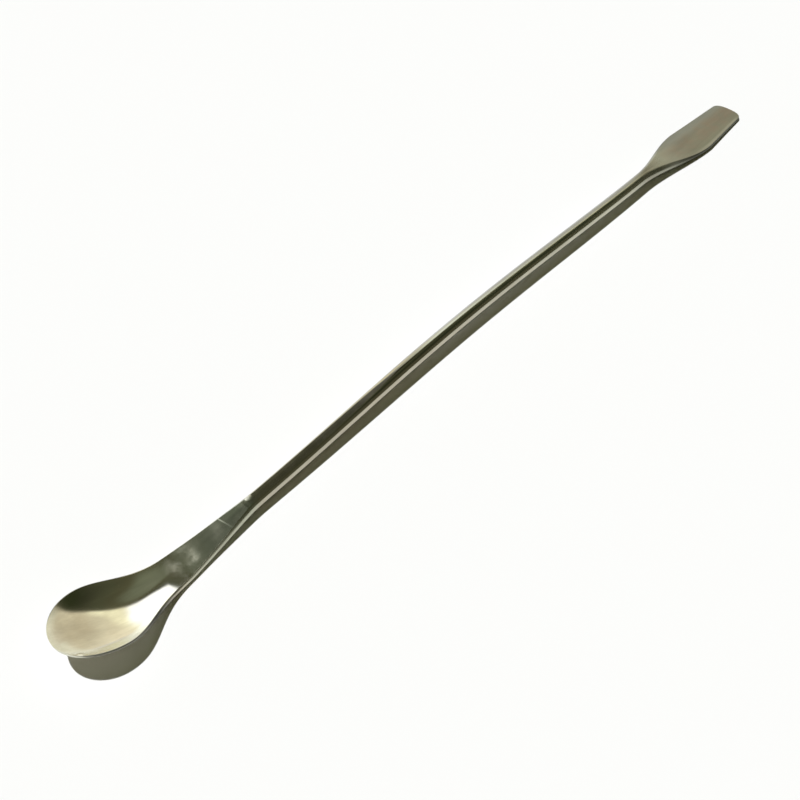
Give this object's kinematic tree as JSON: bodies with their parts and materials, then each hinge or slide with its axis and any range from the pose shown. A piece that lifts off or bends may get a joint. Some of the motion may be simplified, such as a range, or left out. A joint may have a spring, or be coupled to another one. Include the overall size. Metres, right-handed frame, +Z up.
{
  "type": "lab spatula",
  "caption": "Lab spatula pressed from one round steel rod, with an open scoop at one end and a flat tapering blade at the other.",
  "frame": {"origin": "middle of the footprint, on the bench that the spatula lies on", "axes": "+X from the scoop to the blade, +Z up out of the scoop, +Y to the left when looking along +X"},
  "size_m": [0.2, 0.0144, 0.0064],
  "materials": {
    "steel": "ground and polished stainless steel with fine brush lines and light wear"
  },
  "bodies": {
    "root": {"spatula": "steel"}
  },
  "joints": []
}
